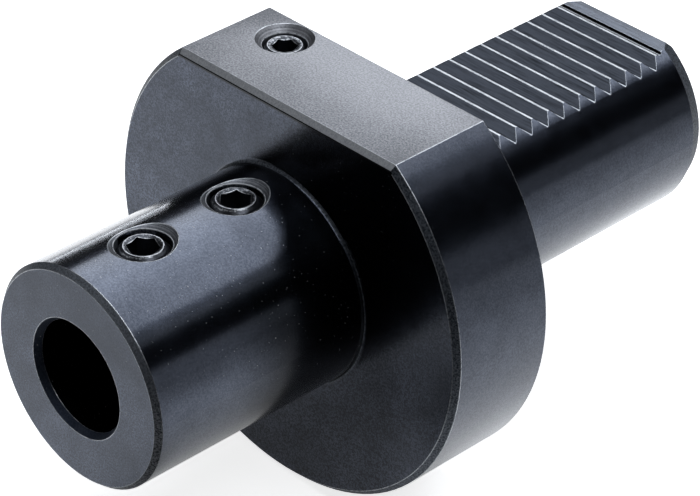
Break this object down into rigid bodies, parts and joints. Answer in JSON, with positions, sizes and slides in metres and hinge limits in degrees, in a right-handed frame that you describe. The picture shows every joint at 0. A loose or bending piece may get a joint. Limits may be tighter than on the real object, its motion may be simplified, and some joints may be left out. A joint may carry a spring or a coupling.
{
  "type": "vdi tool holder",
  "caption": "Holder for drills and boring bars: round shank with a toothed rack, flange with one flat, and a bored nose with two clamp screws.",
  "frame": {"origin": "on the holder's axis, in the plane of the flange's contact face", "axes": "+Y along the axis from the nose to the shank, +Z towards the flange's flat, the clamp screws and the rack, +X to the right seen from the nose"},
  "size_m": [0.083, 0.1305, 0.0742],
  "materials": {
    "blackened_steel": "black oxide over turned and ground steel",
    "screw_steel": "black oxide, worn bright round the sockets",
    "seal_rubber": "smooth black rubber"
  },
  "bodies": {
    "holder": {"holder_body": "blackened_steel", "port_plug": "screw_steel", "end_plug": "screw_steel", "face_seal": "seal_rubber"},
    "front_screw": {"clamp_screw_front": "screw_steel"},
    "rear_screw": {"clamp_screw_rear": "screw_steel"}
  },
  "joints": [
    {"name": "front_screw_slide", "type": "slide", "parent": "holder", "child": "front_screw", "axis": [0, 0, -1], "range_m": [-0.004, 0.00295]},
    {"name": "rear_screw_slide", "type": "slide", "parent": "holder", "child": "rear_screw", "axis": [0, 0, -1], "range_m": [-0.004, 0.0032]}
  ]
}
